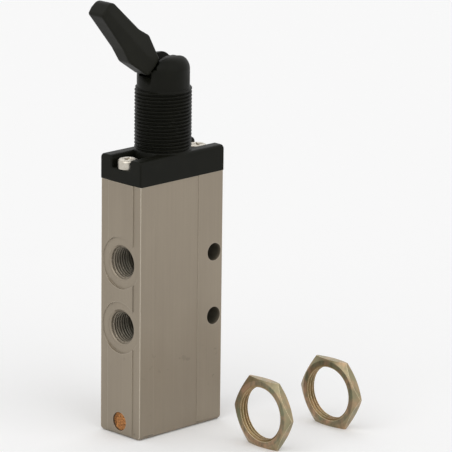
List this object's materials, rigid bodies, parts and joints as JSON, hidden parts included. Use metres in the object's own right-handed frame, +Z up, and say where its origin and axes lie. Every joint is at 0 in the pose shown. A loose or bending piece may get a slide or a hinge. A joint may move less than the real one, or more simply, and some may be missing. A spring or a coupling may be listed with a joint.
{
  "type": "hand lever air valve",
  "caption": "Slim aluminium block valve with a black threaded neck, a toggle lever, two threaded ports on a narrow face and loose panel nuts.",
  "frame": {"origin": "middle of the base face of the valve body", "axes": "+Z up along the neck; the ports face -Y; the lever turns about an axis along X and leans towards -Y at rest"},
  "size_m": [0.0537, 0.0622, 0.1248],
  "materials": {
    "anodised_body": "beige-grey anodised, satin",
    "black_plastic": "black glass-filled moulding, satin",
    "lever_plastic": "black moulding, fine spark-eroded texture",
    "zinc_steel": "bright zinc",
    "pin_steel": "ground stainless steel",
    "natural_acetal": "natural acetal, as turned",
    "seal_rubber": "black nitrile rubber",
    "bush_brass": "turned brass",
    "sintered_bronze": "sintered bronze beads",
    "nut_plating": "olive-yellow plated, satin",
    "spool_alloy": "turned and hard anodised"
  },
  "bodies": {
    "valve": {"valve_body": "anodised_body", "head_housing": "black_plastic", "head_seal": "seal_rubber", "head_screw_front": "zinc_steel", "head_screw_rear": "zinc_steel", "lever_pin": "pin_steel", "guide_bush": "bush_brass", "plunger_wiper": "seal_rubber", "spool_seal_lower": "seal_rubber", "spool_seal_middle": "seal_rubber", "spool_seal_upper": "seal_rubber", "outlet_cage": "bush_brass", "supply_cage": "bush_brass", "clamp_sleeve": "bush_brass", "return_spring": "pin_steel", "exhaust_filter": "sintered_bronze", "panel_nut_near": "nut_plating", "panel_nut_far": "nut_plating"},
    "lever": {"hand_lever": "lever_plastic", "friction_washers": "natural_acetal"},
    "spool_set": {"plunger": "natural_acetal", "spool": "spool_alloy"}
  },
  "joints": [
    {"name": "lever_hinge", "type": "hinge", "parent": "valve", "child": "lever", "pos_m": [0, 0, 0.0994], "axis": [-1, 0, 0], "range_deg": [0, 91]},
    {"name": "spool_slide", "type": "slide", "parent": "valve", "child": "spool_set", "axis": [0, 0, -1], "range_m": [0, 0.0026], "deforming": ["return_spring"]}
  ],
  "couplings": [
    {"joint": "spool_slide", "follows": "lever_hinge", "m_per_rad": 0.001637}
  ]
}
